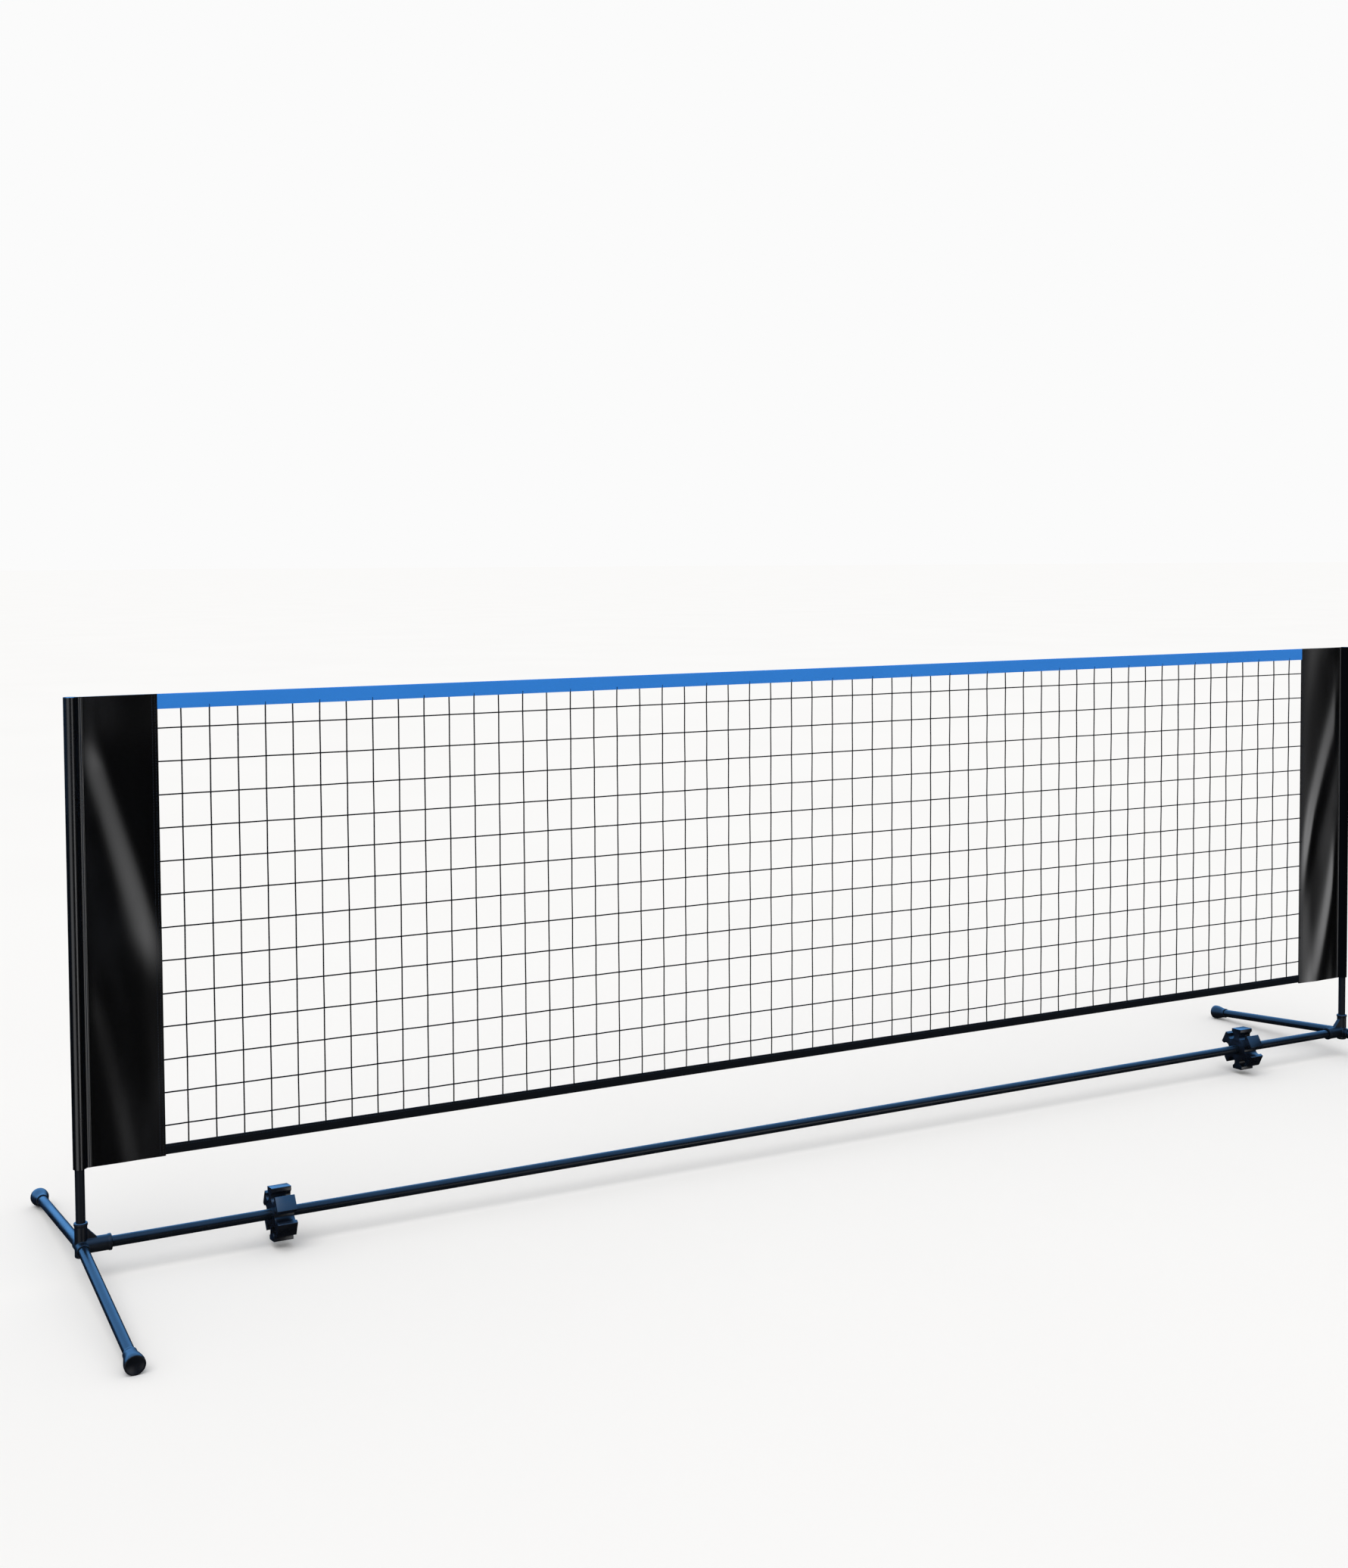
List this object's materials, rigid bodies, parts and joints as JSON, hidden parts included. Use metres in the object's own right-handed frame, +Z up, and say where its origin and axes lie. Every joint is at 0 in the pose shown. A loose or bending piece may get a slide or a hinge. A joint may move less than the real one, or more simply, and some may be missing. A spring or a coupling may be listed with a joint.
{
  "type": "pickleball portable net",
  "caption": "Low portable court net: open mesh with a blue top tape and pole sleeves on round posts, in a tube base with sloping legs, rubber feet and pole clips.",
  "frame": {"origin": "on the floor, under the middle of the net", "axes": "+X right along the net, +Y away from the viewer, +Z up"},
  "size_m": [2.8764, 0.8188, 0.9515],
  "materials": {
    "black_steel": "satin powder coat",
    "bright_steel": "plain zinc plate",
    "black_plastic": "satin moulded plastic",
    "black_rubber": "smooth rubber",
    "black_vinyl": "glossy coated fabric",
    "mesh_cord": "knotless black cord",
    "black_tape": "plain woven tape",
    "blue_tape": "plain coated tape"
  },
  "bodies": {
    "base": {"left_tee": "black_plastic", "right_tee": "black_plastic", "crossbar_left": "black_steel", "crossbar_middle": "black_steel", "crossbar_right": "black_steel", "left_crossbar_ferrule": "bright_steel", "right_crossbar_ferrule": "bright_steel"},
    "left_front_leg": {"left_front_leg": "black_steel", "left_front_foot": "black_rubber"},
    "left_rear_leg": {"left_rear_leg": "black_steel", "left_rear_foot": "black_rubber"},
    "right_front_leg": {"right_front_leg": "black_steel", "right_front_foot": "black_rubber"},
    "right_rear_leg": {"right_rear_leg": "black_steel", "right_rear_foot": "black_rubber"},
    "left_post": {"left_post": "black_steel", "left_post_plug": "black_plastic"},
    "right_post": {"right_post": "black_steel", "right_post_plug": "black_plastic"},
    "net": {"net_mesh": "mesh_cord", "top_tape": "blue_tape", "bottom_tape": "black_tape", "left_sleeve": "black_vinyl", "right_sleeve": "black_vinyl"},
    "left_clip": {"left_pole_clip": "black_plastic"},
    "right_clip": {"right_pole_clip": "black_plastic"}
  },
  "joints": [
    {"name": "left_front_leg_pull", "type": "slide", "parent": "base", "child": "left_front_leg", "axis": [0, -0.995, -0.1], "range_m": [0, 0.02]},
    {"name": "left_rear_leg_pull", "type": "slide", "parent": "base", "child": "left_rear_leg", "axis": [0, 0.995, -0.1], "range_m": [0, 0.02]},
    {"name": "right_front_leg_pull", "type": "slide", "parent": "base", "child": "right_front_leg", "axis": [0, -0.995, -0.1], "range_m": [0, 0.02]},
    {"name": "right_rear_leg_pull", "type": "slide", "parent": "base", "child": "right_rear_leg", "axis": [0, 0.995, -0.1], "range_m": [0, 0.02]},
    {"name": "left_post_lift", "type": "slide", "parent": "base", "child": "left_post", "axis": [0, 0, 1], "range_m": [0, 0.03]},
    {"name": "right_post_lift", "type": "slide", "parent": "base", "child": "right_post", "axis": [0, 0, 1], "range_m": [0, 0.03]},
    {"name": "net_lift", "type": "slide", "parent": "left_post", "child": "net", "axis": [0, 0, 1], "range_m": [0, 0.77]},
    {"name": "left_clip_slide", "type": "slide", "parent": "base", "child": "left_clip", "axis": [1, 0, 0], "range_m": [-0.264, 1.071]},
    {"name": "right_clip_slide", "type": "slide", "parent": "base", "child": "right_clip", "axis": [1, 0, 0], "range_m": [-1.091, 0.244]}
  ],
  "couplings": [
    {"joint": "right_post_lift", "follows": "left_post_lift", "ratio": 1}
  ]
}
